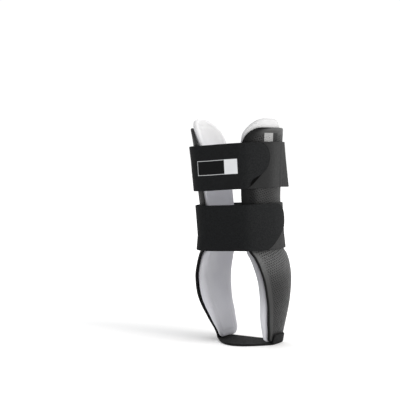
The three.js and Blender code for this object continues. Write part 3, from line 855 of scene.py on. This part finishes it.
def base_band(strap):
    """A strap's grey band, with painted shade at a fold and close by the tongue's tip."""
    rim = BASE_WALL / 2

    def start(share, reach):
        return math.radians(strap.base_start) + rim / reach

    def end(share, reach):
        return math.radians(strap.base_end) - rim / reach

    outer, inner, surface, turns = band_grids(
        strap, edge_shares(33, rim), columns=220, inside=CLEARANCE, wall=BASE_WALL, start=start,
        end=end)
    degrees = np.degrees(turns)
    low = 1 - surface[:, :, 1] / (strap.width * STRAP_WIDTH)
    tip_shade = TIP_SHADE * smooth_step(strap.tip + TIP_SHADE_AFTER, strap.tip - TIP_SHADE_BEFORE,
                                         degrees)
    fold = np.exp(-(((degrees - FOLD_TURN) / FOLD_WIDTH) ** 2))
    fold = FOLD_SHADE * (FOLD_LEAST + (1 - FOLD_LEAST) * low) * fold
    # Painted shade by the tongue's tip and along the fold, on the upper band only.
    worn = np.maximum(tip_shade, fold) * (1 if strap.flare else 0)
    piece = closed_sheet(f"{strap.name}_strap_base_band", outer, inner, surface, rim_turns=6,
                         worn=worn)
    return piece


def ribs(finish, place, pitch):
    """A wave from -1 to 1 over ribs of a pitch."""
    return finish.sums("SINE", finish.sums("MULTIPLY", place, 2 * math.pi / pitch))


def base_finish():
    finish = Finish("woven_fabric")
    distance, height = finish.surface()
    weave = finish.sums("MULTIPLY", ribs(finish, height, BASE_RIB),
                        ribs(finish, distance, BASE_PICK))
    cloud = finish.ramp(finish.speckle(500, 3.0), 0.3, 0.7, 0.0, 1.0)
    plain = finish.blend(cloud, grey(0.027, 0.01), grey(0.036, 0.01))
    # Painted shade, near black, by the tongue's tip and along the fold.
    finish.put(finish.blend(finish.mark("worn"), plain, grey(0.012, 0.02)),
               finish.shader.inputs["Base Color"])
    finish.shader.inputs["Roughness"].default_value = 0.8
    finish.shader.inputs["Specular IOR Level"].default_value = 0.15
    finish.put(finish.relief(weave, distance=0.12 * MILLI, strength=0.6),
               finish.shader.inputs["Normal"])
    return finish.material


base_material = base_finish()
for strap in STRAPS:
    piece = base_band(strap)
    piece.data.materials.append(base_material)
    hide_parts(f"{strap.name}_strap_base")
    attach(piece, "root")

# Heel strap. It is one black webbing band, wide under the heel and folded up round the lower
# edge of each shell into a short tab with round corners.
HEEL_STRAP_WALL = 2.5 * MILLI
HEEL_TAB_HEIGHT = 11.6 * MILLI
HEEL_TAB_WIDTH = 23.5 * MILLI
HEEL_TAB_MIDDLE = 16.25 * MILLI
HEEL_TAB_CORNER = 1.2 * MILLI
HEEL_PAD_WIDTH = 48 * MILLI
HEEL_PAD_SPREAD = 2.4
FLAT_COLUMNS, FOLD_COLUMNS, TAB_COLUMNS = 16, 10, 9
WEBBING_RIB = 1.6 * MILLI
WEBBING_PICK = 1.0 * MILLI


def heel_grids(rows=28):
    """The heel strap's grids. Each column is at a share of the way out under the heel, at a turn
    of the fold, and at a share of the way up the tab."""
    rim = HEEL_STRAP_WALL / 2
    quarter = math.pi / 2
    half = [(flat, 0.0, 0.0) for flat in np.linspace(0, 1, FLAT_COLUMNS)[:-1]]
    half += [(1.0, fold, 0.0) for fold in np.linspace(0, quarter, FOLD_COLUMNS)[:-1]]
    half += [(1.0, quarter, rise) for rise in np.sin(np.linspace(0, quarter, TAB_COLUMNS))]
    stations = [(*station, -1) for station in half[:0:-1]] + [(*station, 1) for station in half]
    outer, inner, surface = empty_grids(rows, len(stations))
    travelled = 0
    for column, (flat, fold, rise, side) in enumerate(stations):
        height = SHELL_FOOT + (HEEL_TAB_HEIGHT - rim - SHELL_FOOT) * rise
        corner = corner_inset(HEEL_TAB_CORNER, HEEL_TAB_HEIGHT - rim - height)
        back = HEEL_TAB_MIDDLE + HEEL_TAB_WIDTH / 2 - rim - corner
        tab_front = HEEL_TAB_MIDDLE - HEEL_TAB_WIDTH / 2 + rim + corner
        pad_front = back - HEEL_PAD_WIDTH
        front = tab_front + (pad_front - tab_front) * (1 - flat ** HEEL_PAD_SPREAD)
        y = np.linspace(back, front, rows)
        shape = shell_shape(height)
        edge = shape.reach - shape.bend
        edge += shape.bend * np.cos(np.arcsin((y - shape.middle) / shape.bend))
        for grid, radius in ((outer, CLEARANCE + HEEL_STRAP_WALL), (inner, CLEARANCE)):
            grid[:, column, 0] = side * (flat * edge + radius * math.sin(fold))
            grid[:, column, 1] = y
            grid[:, column, 2] = height - radius * math.cos(fold)
        if column:
            travelled += np.linalg.norm(outer[0, column] - outer[0, column - 1])
        surface[:, column, 0], surface[:, column, 1] = travelled, y
    return outer, inner, surface


def webbing_finish():
    finish = Finish("black_webbing")
    distance, across = finish.surface()
    rib = ribs(finish, across, WEBBING_RIB)
    pick = ribs(finish, distance, WEBBING_PICK)
    weave = finish.sums("ADD", rib, finish.sums("MULTIPLY", pick, 0.5))
    finish.shader.inputs["Base Color"].default_value = grey(0.007, 0.03)
    finish.shader.inputs["Roughness"].default_value = 0.8
    finish.shader.inputs["Specular IOR Level"].default_value = 0.2
    finish.put(finish.relief(weave, distance=0.15 * MILLI, strength=0.7),
               finish.shader.inputs["Normal"])
    return finish.material


heel_outer, heel_inner, heel_surface = heel_grids()
heel_piece = closed_sheet("heel_webbing_strap", heel_outer, heel_inner, heel_surface,
                          rim_turns=6)
heel_piece.data.materials.append(webbing_finish())
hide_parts("heel_strap")
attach(heel_piece, "root")
